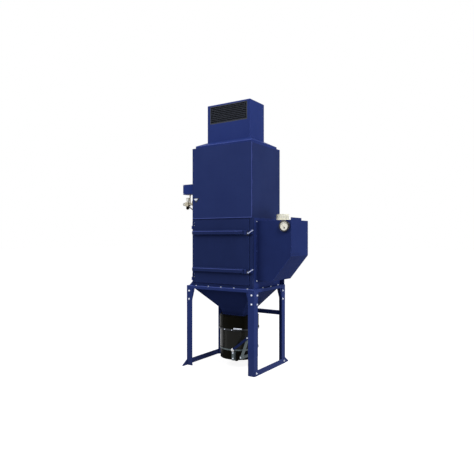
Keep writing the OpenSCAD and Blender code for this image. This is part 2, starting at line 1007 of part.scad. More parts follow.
// Sub-parts
leg_front_left();
leg_front_right();
leg_rear_left();
leg_rear_right();
gusset_front_left();
gusset_front_right();
gusset_rear_left();
gusset_rear_right();
side_rails();
rear_rail();
support_flange();
base_brackets();
hopper();
drum_hood();
dust_drum();
clamp_ring();
clamp_lever();
dolly_ring();
drum_dolly();
castor_forks();
castor_wheels();
lift_links();
lift_lever();
lever_knob();
left_wall();
right_wall();
rear_wall();
front_frame();
tube_sheet();
filter_cartridge_1();
filter_cartridge_2();
filter_cartridge_3();
filter_cartridge_4();
access_door();
door_bar_upper();
door_bar_lower();
door_hinges();
latch_lever_upper();
latch_lever_lower();
latch_keepers();
plenum_housing();
upper_panel();
panel_latch();
roof_cap();
fan_box();
outlet_grille();
inlet_box();
inlet_spigot();
gauge_case();
gauge_dial();
control_box();
air_regulator();
regulator_cap();
regulator_bowl();
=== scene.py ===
"""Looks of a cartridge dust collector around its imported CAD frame."""

import json
import math

import bmesh
import bpy
from mathutils import Matrix, Vector


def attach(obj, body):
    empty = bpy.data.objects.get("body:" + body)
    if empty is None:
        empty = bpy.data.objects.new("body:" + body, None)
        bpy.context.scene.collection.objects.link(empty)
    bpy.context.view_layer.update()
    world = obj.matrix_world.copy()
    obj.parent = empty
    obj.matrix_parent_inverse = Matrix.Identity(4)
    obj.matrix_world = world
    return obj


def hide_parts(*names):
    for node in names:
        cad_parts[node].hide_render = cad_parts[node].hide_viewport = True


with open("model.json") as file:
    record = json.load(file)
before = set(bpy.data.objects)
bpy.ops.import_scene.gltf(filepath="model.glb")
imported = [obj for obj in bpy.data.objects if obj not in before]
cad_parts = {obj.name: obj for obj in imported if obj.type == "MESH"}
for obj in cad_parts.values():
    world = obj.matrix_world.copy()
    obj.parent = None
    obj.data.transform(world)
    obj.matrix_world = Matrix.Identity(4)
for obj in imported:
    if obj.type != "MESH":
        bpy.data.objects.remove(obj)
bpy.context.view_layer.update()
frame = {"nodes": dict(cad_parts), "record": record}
nodes = frame["nodes"]
scene = bpy.context.scene
scene.view_settings.view_transform = "Standard"

# ---------------------------------------------------------------- camera, solved from the photograph
EYE = Vector((3.3287, -5.0496, 1.612))
TURN = 33.17
FOCAL_LENGTH, SENSOR_WIDTH = 35.76, 36
camera_data = bpy.data.cameras.new("camera")
camera_data.sensor_width = SENSOR_WIDTH
camera_data.lens = FOCAL_LENGTH
camera_data.shift_x = -0.0025
camera_data.shift_y = 0.0022
camera = bpy.data.objects.new("camera", camera_data)
camera.location = EYE
camera.rotation_euler = (math.radians(90), 0, math.radians(TURN))
scene.collection.objects.link(camera)
scene.camera = camera


# ---------------------------------------------------------------- node helpers
def linear(colour):
    """Linear RGBA from an sRGB hex string."""
    values = [int(colour[k:k + 2], 16) / 255 for k in (1, 3, 5)]
    return [v / 12.92 if v <= 0.04045 else ((v + 0.055) / 1.055) ** 2.4 for v in values] + [1]


def new_material(name):
    """A material with an empty principled shader, its tree and the shader."""
    material = bpy.data.materials.new(name)
    material.use_nodes = True
    tree = material.node_tree
    tree.nodes.clear()
    out = tree.nodes.new("ShaderNodeOutputMaterial")
    shader = tree.nodes.new("ShaderNodeBsdfPrincipled")
    tree.links.new(shader.outputs[0], out.inputs[0])
    return material, tree, shader


def add(tree, kind, inputs=None, **settings):
    """A node with its settings and inputs: numbers, colours or other nodes' outputs."""
    node = tree.nodes.new(kind)
    for key, value in settings.items():
        setattr(node, key, value)
    for key, value in (inputs or {}).items():
        if isinstance(value, bpy.types.NodeSocket):
            tree.links.new(value, node.inputs[key])
        else:
            node.inputs[key].default_value = value
    return node


def noise(tree, scale, detail=3.0, rough=0.55, stretch=(1, 1, 1), seed=0.0):
    """Noise in object space, stretched along the axes and shifted by a seed."""
    where = add(tree, "ShaderNodeTexCoord").outputs["Object"]
    shift = (seed, seed * 0.7, seed * 1.3)
    place = add(tree, "ShaderNodeMapping", {"Vector": where, "Scale": stretch, "Location": shift})
    inputs = {"Vector": place.outputs[0], "Scale": scale, "Detail": detail, "Roughness": rough}
    return add(tree, "ShaderNodeTexNoise", inputs).outputs["Fac"]


def ramp(tree, value, low, high, start, end):
    """A value taken from the range low to high to the range start to end."""
    inputs = {"Value": value, "From Min": low, "From Max": high, "To Min": start, "To Max": end}
    return add(tree, "ShaderNodeMapRange", inputs).outputs[0]


def times(tree, first, second):
    return add(tree, "ShaderNodeMath", {0: first, 1: second}, operation="MULTIPLY").outputs[0]


def mix(tree, factor, first, second):
    """A colour between two colours."""
    inputs = {0: factor, 6: first, 7: second}
    return add(tree, "ShaderNodeMix", inputs, data_type="RGBA").outputs[2]


def edge_mask(tree, radius, low, high):
    """1 on sharp outer edges, 0 elsewhere."""
    bevel = add(tree, "ShaderNodeBevel", {"Radius": radius}, samples=4)
    flat = add(tree, "ShaderNodeNewGeometry").outputs["Normal"]
    dot = add(tree, "ShaderNodeVectorMath", {0: bevel.outputs[0], 1: flat}, operation="DOT_PRODUCT")
    return ramp(tree, dot.outputs["Value"], high, low, 0, 1)


def bump(tree, shader, height, strength, distance):
    node = add(tree, "ShaderNodeBump", {"Height": height, "Strength": strength, "Distance": distance})
    tree.links.new(node.outputs[0], shader.inputs["Normal"])


# The last colour lightens outer edges: partly bare worn paint, partly a painted highlight.
GRIME, STREAK, FLOOR_DUST, EDGE_WEAR_AND_HIGHLIGHT = "#141a36", "#2c3874", "#5d5b62", "#5260a8"


def paint(name, colour, light, rough=0.42, dirt=0.0, specular=0.015):
    """Powder coat: fine orange peel, slow colour drift, lighter outer edges that are partly wear and
    partly a painted highlight, and grime low down.
    """
    material, tree, shader = new_material(name)
    cloud = ramp(tree, noise(tree, 1.7, 4, 0.6, seed=3.1), 0.3, 0.7, 0, 1)
    base = mix(tree, cloud, linear(colour), linear(light))
    speck = ramp(tree, noise(tree, 46, 3, 0.6, seed=8.4), 0.62, 0.74, 0, 0.25)
    base = mix(tree, speck, base, linear(GRIME))
    streak = ramp(tree, noise(tree, 5, 4, 0.6, (9, 9, 0.5), 1.7), 0.52, 0.75, 0, 0.14)
    base = mix(tree, streak, base, linear(STREAK))
    if dirt:
        place = add(tree, "ShaderNodeTexCoord").outputs["Object"]
        height = add(tree, "ShaderNodeSeparateXYZ", {0: place}).outputs[2]
        dust = times(tree, ramp(tree, height, 0.0, 0.30, dirt, 0), noise(tree, 18, 4, 0.6))
        base = mix(tree, dust, base, linear(FLOOR_DUST))
    # Lighter colour on outer edges: partly worn paint, partly a painted highlight where edges catch
    # the light.
    edges = edge_mask(tree, 0.0022, 0.80, 0.97)
    wear_and_highlight = times(tree, edges, ramp(tree, noise(tree, 30, 3), 0.42, 0.62, 0.2, 0.8))
    base = mix(tree, wear_and_highlight, base, linear(EDGE_WEAR_AND_HIGHLIGHT))
    tree.links.new(base, shader.inputs["Base Color"])
    gloss = ramp(tree, noise(tree, 7, 5, 0.65, seed=5.0), 0.25, 0.75, rough - 0.07, rough + 0.09)
    tree.links.new(gloss, shader.inputs["Roughness"])
    shader.inputs["Specular IOR Level"].default_value = specular
    bump(tree, shader, noise(tree, 260, 2, 0.5), 0.25, 0.0009)
    return material


def metal(name, colour, dark, rough, scale, metallic):
    """Plated, galvanised or cast metal: spangle, stains and a fine grain."""
    material, tree, shader = new_material(name)
    stain = ramp(tree, noise(tree, 14, 5, 0.6, seed=2.0), 0.3, 0.75, 0, 1)
    base = mix(tree, stain, linear(colour), linear(dark))
    where = add(tree, "ShaderNodeTexCoord").outputs["Object"]
    cells = add(tree, "ShaderNodeTexVoronoi", {"Vector": where, "Scale": scale}).outputs["Distance"]
    base = mix(tree, ramp(tree, cells, 0.1, 0.8, 0, 0.2), base, linear(dark))
    tree.links.new(base, shader.inputs["Base Color"])
    gloss = ramp(tree, noise(tree, 40, 4, 0.6, seed=6.0), 0.25, 0.75, rough - 0.08, rough + 0.12)
    tree.links.new(gloss, shader.inputs["Roughness"])
    shader.inputs["Metallic"].default_value = metallic
    bump(tree, shader, noise(tree, 320, 2, 0.5), 0.12, 0.0006)
    return material


def plain(name, colour, other, rough=0.5, scale=30.0, strength=0.15, specular=0.5):
    """Plastic, rubber or gloss enamel with fine grain and scuffs."""
    material, tree, shader = new_material(name)
    cloud = ramp(tree, noise(tree, scale, 4, 0.6), 0.35, 0.7, 0, 1)
    base = mix(tree, cloud, linear(colour), linear(other))
    tree.links.new(base, shader.inputs["Base Color"])
    gloss = ramp(tree, noise(tree, scale * 2, 4, 0.6, seed=4.0), 0.3, 0.7, rough - 0.06, rough + 0.08)
    tree.links.new(gloss, shader.inputs["Roughness"])
    shader.inputs["Specular IOR Level"].default_value = specular
    bump(tree, shader, noise(tree, 300, 2, 0.5), strength, 0.0006)
    return material


MATERIALS = {
    "paint": paint("housing_paint", "#25336b", "#293873"),
    "panel_paint": paint("panel_paint", "#263262", "#2a3768"),
    "frame_paint": paint("frame_paint", "#28356a", "#2e3d77", dirt=0.18),
    "black_paint": plain("black_enamel", "#0d0c06", "#12110a", 0.32, 9.0, 0.1, 0.02),
    "zinc": metal("zinc_plate", "#f2f6ff", "#c6cede", 0.30, 60.0, 0.45),
    "grey_steel": metal("grey_steel", "#5f6a6c", "#454e50", 0.45, 70.0, 0.6),
    "galvanised": metal("galvanised", "#f4f1da", "#cfcbb2", 0.45, 90.0, 0.12),
    "filter_media": plain("filter_media", "#ddd8c9", "#c8c2b1", 0.85, 30.0, 0.5),
    "dial": plain("dial_face", "#fffdf0", "#faf6e2", 0.5, 20.0, 0.02, 0.2),
    "bezel": plain("bezel", "#0b0b0d", "#131316", 0.25, 30.0, 0.05),
    "light_grey": plain("ivory_plastic", "#f7f6f0", "#e6e4da", 0.35, 30.0, 0.05),
    "blue_box": paint("box_paint", "#253573", "#2b3b7b", 0.38),
    "fitting": metal("cast_fitting", "#cfc8b4", "#8c8470", 0.40, 120.0, 0.55),
    "tyre": plain("rubber", "#101010", "#1c1b1a", 0.7, 60.0, 0.3, 0.1),
}
# Light blue paint for thin strips along edges: a painted highlight.
edge_highlight_paint = paint("edge_highlight_paint", "#4c5aa2", "#5d6bb2", 0.38)
louvre = plain("louvre_enamel", "#383b42", "#42454e", 0.5, 40.0, 0.1, 0.1)
mesh_grey = plain("mesh_grey", "#9a9ea6", "#868a92", 0.6, 40.0, 0.1, 0.1)
# Near-black colour of the silver clamp ring: painted dark reflections.
steel_painted_dark = metal("steel_painted_dark", "#23262a", "#15171a", 0.4, 70.0, 0.5)
# Darker copies of the housing blue for the door, plenum, hopper and inlet box: painted shade on parts
# that stand in shade.
shaded_door_paint = paint("shaded_door_paint", "#212c56", "#24305c")
shaded_plenum_paint = paint("shaded_plenum_paint", "#222d58", "#26325e")
shaded_hopper_paint = paint("shaded_hopper_paint", "#202a54", "#24305e", specular=0.003)
shaded_inlet_paint = paint("shaded_inlet_paint", "#222d5b", "#263366", specular=0.003)
spigot_zinc = metal("spigot_zinc", "#fffdec", "#f2edd0", 0.4, 90.0, 0.05)
latch_chrome = metal("latch_chrome", "#c3cbe6", "#98a2c6", 0.25, 60.0, 0.35)
white_knob = plain("white_knob", "#ffffff", "#f4f4f0", 0.2, 30.0, 0.02)


def drum_enamel():
    """Gloss black of the drum: long upright lighter streaks in its colour are painted reflections, on
    a slightly dented shell.
    """
    material, tree, shader = new_material("drum_enamel")
    # Lighter upright streaks in the base colour: painted reflections.
    streak = ramp(tree, noise(tree, 3.1, 3, 0.5, (6, 6, 0.15), 2.6), 0.52, 0.66, 0, 0.9)
    base = mix(tree, streak, linear("#0e0e08"), linear("#2f2f2a"))
    tree.links.new(base, shader.inputs["Base Color"])
    gloss = ramp(tree, noise(tree, 12, 4, 0.6), 0.3, 0.7, 0.16, 0.30)
    tree.links.new(gloss, shader.inputs["Roughness"])
    shader.inputs["Specular IOR Level"].default_value = 0.12
    bump(tree, shader, noise(tree, 14, 3, 0.5, (1, 1, 0.3)), 0.3, 0.002)
    return material


OWN = {
    "outlet_grille": louvre, "plenum_housing": shaded_plenum_paint,
    "front_frame": shaded_door_paint, "access_door": shaded_door_paint,
    "door_bar_upper": shaded_door_paint, "door_bar_lower": shaded_door_paint,
    "latch_lever_upper": latch_chrome, "latch_lever_lower": latch_chrome,
    "inlet_box": shaded_inlet_paint, "inlet_spigot": spigot_zinc,
    "hopper": shaded_hopper_paint, "lift_lever": shaded_hopper_paint, "lever_knob": white_knob,
    "clamp_ring": steel_painted_dark, "dust_drum": drum_enamel(),
}
slots = {part["node"]: part["material_slot"] for part in frame["record"]["subparts"]}
for name, node in nodes.items():
    material = OWN.get(name, MATERIALS[slots[name]])
    if not node.material_slots:
        node.data.materials.append(material)
    for place in node.material_slots:
        place.material = material


# ---------------------------------------------------------------- mesh helpers
def piece(name, slot, build, body="housing", soft=False, material=None):
    """A mesh made by build(bm), in its slot's material or its own, that moves with a body."""
    mesh = bpy.data.meshes.new(name)
    bm = bmesh.new()
    build(bm)
    bmesh.ops.recalc_face_normals(bm, faces=bm.faces)
    for face in bm.faces:
        face.smooth = soft
    bm.to_mesh(mesh)
    bm.free()
    if soft:
        mesh.set_sharp_from_angle(angle=math.radians(35))
    mesh.materials.append(material or MATERIALS[slot])
    item = bpy.data.objects.new(name, mesh)
    scene.collection.objects.link(item)
    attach(item, body)
    return item


def turned(normal, spin=0.0):
    """Rotation that takes +Z to a direction."""
    return Vector(normal).to_track_quat("Z", "Y").to_matrix().to_4x4() @ Matrix.Rotation(spin, 4, "Z")


def box(bm, low, high, bevel=0.0):
    """A block between two corners, with chamfered edges."""
    size = [b - a for a, b in zip(low, high)]
    middle = [(a + b) / 2 for a, b in zip(low, high)]
    matrix = Matrix.Translation(middle) @ Matrix.Diagonal((*size, 1))
    made = bmesh.ops.create_cube(bm, size=1, matrix=matrix)
    if bevel:
        edges = list(dict.fromkeys(edge for vert in made["verts"] for edge in vert.link_edges))
        bmesh.ops.bevel(bm, geom=edges, offset=bevel, segments=2, affect="EDGES", profile=0.5)


def ring(bm, matrix, radius, height, around):
    """A ring of vertices round the matrix's Z axis."""
    angles = [2 * math.pi * k / around for k in range(around)]
    return [bm.verts.new(matrix @ Vector((radius * math.cos(a), radius * math.sin(a), height)))
            for a in angles]


def join(bm, rings):
    """Faces between open rings of one size."""
    for first, second in zip(rings, rings[1:]):
        count = len(first)
        for k in range(count):
            after = (k + 1) % count
            bm.faces.new([first[k], first[after], second[after], second[k]])


def lathe(bm, place, normal, profile, around):
    """Turns a profile of (radius, height) points round an axis."""
    matrix = Matrix.Translation(place) @ turned(normal)
    rings = []
    for radius, height in profile:
        if radius == 0:
            rings.append([bm.verts.new(matrix @ Vector((0, 0, height)))])
            continue
        rings.append(ring(bm, matrix, radius, height, around))
    for first, second in zip(rings, rings[1:]):
        for k in range(around):
            corners = [first[k % len(first)], first[(k + 1) % len(first)],
                       second[(k + 1) % len(second)], second[k % len(second)]]
            bm.faces.new(list(dict.fromkeys(corners)))


def bead(bm, place, normal, radius, thick, around=64):
    """A round bead, such as the rolled rim of a sheet cylinder."""
    steps = 10
    angles = [2 * math.pi * k / steps for k in range(steps + 1)]
    profile = [(radius + thick * math.cos(a), thick * math.sin(a)) for a in angles]
    lathe(bm, place, normal, profile, around)


def bolt(bm, place, normal, across, spin=0.0):
    """Hexagon head with a chamfer on a washer, seated on a face."""
    washer = across * 0.72
    lathe(bm, Vector(place) - Vector(normal) * 0.0002, normal,
          [(0, 0), (washer, 0), (washer, 0.002), (washer * 0.97, 0.0025), (0, 0.0025)], 20)
    matrix = Matrix.Translation(place) @ turned(normal, spin)
    corner = across / math.sqrt(3)
    height = across * 0.62
    levels = (corner, 0.002), (corner, height * 0.85), (corner * 0.86, height)
    rings = [ring(bm, matrix, radius, up, 6) for radius, up in levels]
    join(bm, rings)
    bm.faces.new(rings[-1])


def bolts(bm, rows, across):
    """Bolts from rows of (place, normal), each turned by another amount."""
    for k, (place, normal) in enumerate(rows):
        bolt(bm, place, normal, across, spin=0.7 * k)


def screw(bm, place, normal, radius=0.006):
    """Domed screw head."""
    profile = [(0, 0.45), (0.45, 0.40), (0.8, 0.24), (1.0, 0.0)]
    lathe(bm, place, normal, [(r * radius, h * radius) for r, h in profile], 14)


def tube(bm, points, radius, around):
    """A round tube along points, with flat ends."""
    rings = []
    for k, point in enumerate(points):
        before, after = points[max(k - 1, 0)], points[min(k + 1, len(points) - 1)]
        matrix = Matrix.Translation(point) @ turned(Vector(after) - Vector(before))
        rings.append(ring(bm, matrix, radius, 0, around))
    join(bm, rings)
    bm.faces.new(rings[0])
    bm.faces.new(rings[-1])


# ---------------------------------------------------------------- sizes shared with the CAD
HALF_W, HALF_D = 0.450, 0.335
FLANGE_X, FLANGE_Y = 0.501, 0.386
BASE, PLENUM, ROOF = 1.012, 1.850, 2.748
FAN_FRONT = -0.185
REAR_SHEET, LEFT_SHEET, FAN_SHEET = 0.3368, -0.4518, 0.1548
DOOR_LEFT, DOOR_RIGHT, DOOR_LOW, DOOR_HIGH, DOOR_FRONT = -0.435, 0.405, 1.0522, 1.8388, -0.343
BAR_HEIGHTS = (1.678, 1.219)
LATCH_X, LATCH_UPPER, LATCH_LOWER = 0.412, 1.666, 1.207
CARTRIDGE_X, CARTRIDGE_Y, CARTRIDGE_STEP = 0.2052, 0.015, 0.150
INLET_FACES = (-0.238, 0.220)
SPIGOT = Vector((0.6745, -0.009, 1.821))
SPIGOT_RADIUS = 0.075
GAUGE = Vector((0.824, -0.262, 1.751))
PIVOT = GAUGE + Vector((0.004, -0.0004, -0.020))
AIR_Y, AIR_Z = -0.280, 2.050
REGULATOR_X, METER = -0.572, (-0.626, -0.288, AIR_Z)
DRUM_X, CLAMP_Z, CLAMP_RADIUS = 0.045, 0.482, 0.257
CASTOR_Z, CASTOR_CIRCLE = 0.1155, 0.150
LEFT, RIGHT, FRONT, BACK = (-1, 0, 0), (1, 0, 0), (0, -1, 0), (0, 1, 0)
UP, DOWN = (0, 0, 1), (0, 0, -1)


# ---------------------------------------------------------------- fasteners of the frame
def frame_bolts(bm):
    """Bolts on top of the flange and on the outer faces of legs, gussets and rails."""
    top, outer = [], []
    for x in (-0.36, -0.17, 0.02, 0.21, 0.40):
        top += [((x, -0.372, BASE), UP), ((x, 0.355, BASE), UP)]
    for side, normal in ((-1, LEFT), (1, RIGHT)):
        top += [((side * 0.478, y, BASE), UP) for y in (-0.144, 0.046, 0.236)]
        for y_side in (-1, 1):
            outer += [((side * FLANGE_X, y_side * 0.320, z), normal) for z in (0.940, 0.834)]
            outer += [((side * 0.507, y_side * 0.345, 0.034), normal)]
    for side, normal in ((-1, FRONT), (1, BACK)):
        for x in (-0.462, 0.466):
            outer += [((x, side * FLANGE_Y, z), normal) for z in (0.945, 0.840)]
    outer += [((x, 0.392, 0.641), BACK) for x in (-0.455, 0.455)]
    bolts(bm, outer, 0.017)
    bolts(bm, top, 0.013)


piece("frame_bolts", "zinc", frame_bolts)


def weld_line(bm, start, end, radius):
    """A straight weld bead between two points."""
    start, end = Vector(start), Vector(end)
    count = max(4, int((end - start).length / 0.006))
    points = [start.lerp(end, k / count) for k in range(count + 1)]
    tube(bm, points, radius, 6)


def frame_welds(bm):
    """Welds of the foot plates and of two flange corners."""
    foot_top, flange_top = 0.0105, BASE + 0.001
    for side in (-1, 1):
        for y_side in (-1, 1):
            wall_x, wall_y = side * 0.493, y_side * 0.378
            weld_line(bm, (side * 0.486, wall_y, foot_top), (side * 0.417, wall_y, foot_top), 0.0025)
            weld_line(bm, (wall_x, y_side * 0.371, foot_top), (wall_x, y_side * 0.302, foot_top),
                      0.0025)
    weld_line(bm, (-0.452, -0.331, flange_top), (-0.496, -0.331, flange_top), 0.0022)
    weld_line(bm, (0.452, 0.366, flange_top), (0.497, 0.366, flange_top), 0.0022)


piece("frame_welds", "frame_paint", frame_welds, soft=True)


# ---------------------------------------------------------------- housing, roof and fan
def housing_screws(bm):
    """Screws round the foot of the roof and in the rim of the louvre."""
    roof_row = ROOF + 0.017
    for x in (-0.33, -0.11, 0.11, 0.33):
        screw(bm, (x, -0.305, roof_row), FRONT)
        screw(bm, (x, 0.305, roof_row), BACK)
    for y in (-0.22, 0.0, 0.22):
        screw(bm, (0.420, y, roof_row), RIGHT)
        screw(bm, (-0.420, y, roof_row), LEFT)
    for x in (-0.27, -0.135, 0.0, 0.135, 0.27):
        for z in (3.058, 3.298):
            screw(bm, (x, FAN_FRONT, z), FRONT, 0.004)


piece("housing_screws", "paint", housing_screws, soft=True)


def sheet_seams(bm):
    """Folded sheet seams round the fan box, the roof and the foot of the clean-air section."""
    half, proud = 0.003, 0.0012
    box(bm, (-0.3215, -0.1865, 2.830), (0.3215, 0.1545, 2.836), 0.001)
    box(bm, (-0.4503, HALF_D, PLENUM - half), (0.4503, 0.3365, PLENUM + half), 0.0006)
    for side in (-1, 1):
        low, high = sorted((side * HALF_W, side * (HALF_W + proud)))
        box(bm, (low, -HALF_D, PLENUM - half), (high, HALF_D, PLENUM + half), 0.0005)
        box(bm, (low, -HALF_D, ROOF - 0.012), (high, HALF_D, ROOF - 0.001), 0.0005)
    box(bm, (-0.4425, -0.3418, 1.8545), (0.4425, -HALF_D, 1.8575), 0.0008)


piece("sheet_seams", "paint", sheet_seams)

LOWER_SHEET, UPPER_SHEET = (1.055, 1.815), (1.885, 2.710)
REAR_SHEETS = [((-0.405, low), (0.405, high)) for low, high in (LOWER_SHEET, UPPER_SHEET)]
SIDE_SHEETS = [((-0.290, low), (0.290, high)) for low, high in (LOWER_SHEET, UPPER_SHEET)]
FAN_SHEETS = [((-0.285, 2.875), (0.285, 3.270))]


def outline(low, high, step):
    """Points round a rectangle, about a step apart."""
    corners = [(low[0], low[1]), (high[0], low[1]), (high[0], high[1]), (low[0], high[1])]
    points = []
    for a, b in zip(corners, corners[1:] + corners[:1]):
        count = max(2, round((abs(b[0] - a[0]) + abs(b[1] - a[1])) / step))
        points += [(a[0] + (b[0] - a[0]) * k / count, a[1] + (b[1] - a[1]) * k / count)
                   for k in range(count)]
    return points


def lap_sheets(bm):
    """Sheets lapped over the back, the left wall and the fan box's back."""
    bevel = 0.0009
    for low, high in REAR_SHEETS:
        box(bm, (low[0], 0.3345, low[1]), (high[0], REAR_SHEET, high[1]), bevel)
    for low, high in SIDE_SHEETS:
        box(bm, (LEFT_SHEET, low[0], low[1]), (-0.4495, high[0], high[1]), bevel)
    for low, high in FAN_SHEETS:
        box(bm, (low[0], 0.1525, low[1]), (high[0], FAN_SHEET, high[1]), bevel)


def lap_rivets(bm):
    """Rivets along the edges of the lapped sheets."""
    inset, radius = 0.016, 0.0042

    def rows(sheets, step):
        for low, high in sheets:
            inner = (low[0] + inset, low[1] + inset), (high[0] - inset, high[1] - inset)
            yield from outline(*inner, step)

    for sheets, face, step in ((REAR_SHEETS, REAR_SHEET, 0.13), (FAN_SHEETS, FAN_SHEET, 0.12)):
        for x, z in rows(sheets, step):
            screw(bm, (x, face, z), BACK, radius)
    for y, z in rows(SIDE_SHEETS, 0.13):
        screw(bm, (LEFT_SHEET, y, z), LEFT, radius)


piece("lap_sheets", "paint", lap_sheets)
piece("lap_rivets", "paint", lap_rivets, soft=True)


def grille_mesh(bm):
    """Wire mesh behind the louvre blades, inside the frame's rim."""
    y, pitch, half = -0.149, 0.006, 0.0009
    for k in range(89):
        x = -0.264 + k * pitch
        box(bm, (x - half, y - 0.0006, 3.078), (x + half, y + 0.0006, 3.278))
    for k in range(33):
        z = 3.082 + k * pitch
        box(bm, (-0.268, y - 0.0014, z - half), (0.268, y - 0.0004, z + half))


piece("grille_mesh", "black_paint", grille_mesh, material=mesh_grey)


def edge_highlights(bm):
    """Thin strips in lighter paint along folded edges of the fixed sheets: a painted highlight where
    the edges catch the light.
    """
    box(bm, (-0.4405, -0.3428, 1.8552), (0.4405, -0.3405, 1.8610), 0.0008)
    box(bm, (0.4388, -0.3424, 1.8610), (0.4420, -HALF_D, 2.7435), 0.0008)
    box(bm, (-0.500, -0.3868, 1.0060), (0.500, -0.3850, 1.0122), 0.0006)
    box(bm, (-0.419, -0.3058, 2.7765), (0.419, -0.3040, 2.7822), 0.0006)
    box(bm, (-0.319, -0.1858, 3.3020), (0.319, -0.1840, 3.3078), 0.0006)


piece("edge_highlights", "paint", edge_highlights, material=edge_highlight_paint)


def triangle(bm, top, half, height, front, back):
    """Upright triangle with its point down, between two depths."""
    x, z = top
    rows = [[bm.verts.new((x + dx, y, z + dz)) for dx, dz in ((-half, 0), (half, 0), (0, -height))]
            for y in (front, back)]
    bm.faces.new(rows[0])
    bm.faces.new(rows[1])
    for k in range(3):
        after = (k + 1) % 3
        bm.faces.new([rows[0][k], rows[0][after], rows[1][after], rows[1][k]])


PULL_X = -0.383


def pull_shadow_plate(bm):
    """Dark triangle behind the pull, a painted shadow of the pull, and the pull's dark tip."""
    triangle(bm, (PULL_X, 2.1155), 0.046, 0.056, -0.3424, -0.3408)
    triangle(bm, (PULL_X, 2.0870), 0.0122, 0.0150, -0.3538, -0.3520)


def panel_pull_screws(bm):
    """Pivot and stop of the triangular pull on the upper panel."""
    for x in (PULL_X - 0.009, PULL_X + 0.009):
        screw(bm, (x, -0.353, 2.102), FRONT, 0.0045)


# The dark backing is a painted shadow of the pull.
piece("pull_shadow_plate", "bezel", pull_shadow_plate)
piece("panel_pull_screws", "zinc", panel_pull_screws, soft=True)


# ---------------------------------------------------------------- door
def door_gasket(bm):
    """Rubber strip in the rebate behind the door."""
    left, right, front, back = -0.432, 0.402, -0.3122, -0.3078
    low, inner_low, inner_high, high = 1.055, 1.075, 1.816, 1.836
    box(bm, (left, front, low), (right, back, inner_low), 0.001)
    box(bm, (left, front, inner_high), (right, back, high), 0.001)
    box(bm, (left, front, inner_low), (-0.412, back, inner_high), 0.001)
    box(bm, (0.382, front, inner_low), (right, back, inner_high), 0.001)


piece("door_gasket", "tyre", door_gasket)


def door_folds(bm):
    """Folded rim of the door sheet and the welds along its bars."""
    rim, bevel, weld = 0.0035, 0.0005, 0.0014
    front, back = DOOR_FRONT - 0.0012, -0.3425
    right = DOOR_RIGHT - 0.0002
    box(bm, (DOOR_LEFT, front, DOOR_LOW), (DOOR_RIGHT, back, DOOR_LOW + rim), bevel)
    box(bm, (DOOR_LEFT, front, DOOR_HIGH - rim), (DOOR_RIGHT, back, DOOR_HIGH), bevel)
    box(bm, (right - rim, front, DOOR_LOW), (right, back, DOOR_HIGH), bevel)
    for z in BAR_HEIGHTS:
        for edge in (z + 0.0280, z - 0.0280):
            weld_line(bm, (-0.418, -0.3432, edge), (0.336, -0.3432, edge), weld)


def bar_highlights(bm):
    """Strip in lighter paint along the upper edge of each stiffening bar: a painted highlight."""
    for z in BAR_HEIGHTS:
        box(bm, (-0.4185, -0.3845, z + 0.0140), (0.3365, -0.3825, z + 0.0192), 0.0006)


def bar_ends(bm):
    """Folded tabs that close the bars towards the latches."""
    for z in BAR_HEIGHTS:
        box(bm, (0.3365, -0.3640, z - 0.024), (0.3740, -0.3425, z + 0.024), 0.003)


def latch_covers(bm):
    """Moulded covers under the latch levers, round the pins."""
    collar = [(0.0105, 0.0), (0.0105, 0.0035), (0.0095, 0.0045), (0.006, 0.0045)]
    for z in (LATCH_UPPER, LATCH_LOWER):
        box(bm, (0.386, -0.3645, z - 0.0185), (0.4045, -0.3425, z + 0.0185), 0.0015)
        lathe(bm, (LATCH_X, -0.3630, z), FRONT, collar, 28)


def hinge_screws(bm):
    for z in (1.121, 1.156, 1.770, 1.805):
        screw(bm, (-0.4115, -0.346, z), FRONT, 0.0035)


piece("door_folds", "panel_paint", door_folds, "access_door")
piece("bar_highlights", "panel_paint", bar_highlights, "access_door", material=edge_highlight_paint)
piece("bar_ends", "panel_paint", bar_ends, "access_door")
piece("latch_covers", "bezel", latch_covers, "access_door")
piece("hinge_screws", "zinc", hinge_screws, "access_door", soft=True)

CAP_NUT = [(0.0085, 0), (0.0085, 0.0012), (0.006, 0.0014), (0.006, 0.004), (0.005, 0.0068),
           (0.003, 0.0082), (0, 0.0087)]


def latch_nut(z):
    """Cap nut and washer on a latch pin."""
    return lambda bm: lathe(bm, (LATCH_X, -0.378, z), FRONT, CAP_NUT, 24)


piece("latch_nut_upper", "zinc", latch_nut(LATCH_UPPER), "latch_upper", True, latch_chrome)
piece("latch_nut_lower", "zinc", latch_nut(LATCH_LOWER), "latch_lower", True, latch_chrome)


# ---------------------------------------------------------------- filter cartridges
PLEATS = 72
CLOTH_LOW, CLOTH_HIGH = 1.258, 1.830
CLOTH_OUTER, CLOTH_INNER = 0.1325, 0.1155
LOWER_CAP = [(0, 0.003), (0.050, 0.003), (0.058, 0), (0.137, 0), (0.140, 0.002), (0.140, 0.012),
             (0.137, 0.014), (0, 0.014)]
UPPER_CAP = [(0.090, 0), (0.137, 0), (0.140, 0.002), (0.140, 0.013), (0.138, 0.0138),
             (0.092, 0.0138), (0.090, 0.012), (0.090, 0)]


def pleated(x, y):
    """Folded filter cloth between its two end caps."""
    def build(bm):
        folds = []
        for k in range(2 * PLEATS):
            radius, angle = CLOTH_OUTER if k % 2 else CLOTH_INNER, math.pi * k / PLEATS
            folds.append((x + radius * math.cos(angle), y + radius * math.sin(angle)))
        join(bm, [[bm.verts.new((*fold, z)) for fold in folds] for z in (CLOTH_LOW, CLOTH_HIGH)])
    return build


def cartridge_caps(bm):
    """End caps of the four cartridges."""
    for x in (-CARTRIDGE_X, CARTRIDGE_X):
        for y in (CARTRIDGE_Y - CARTRIDGE_STEP, CARTRIDGE_Y + CARTRIDGE_STEP):
            lathe(bm, (x, y, CLOTH_LOW - 0.014), UP, LOWER_CAP, 64)
            lathe(bm, (x, y, CLOTH_HIGH), UP, UPPER_CAP, 64)


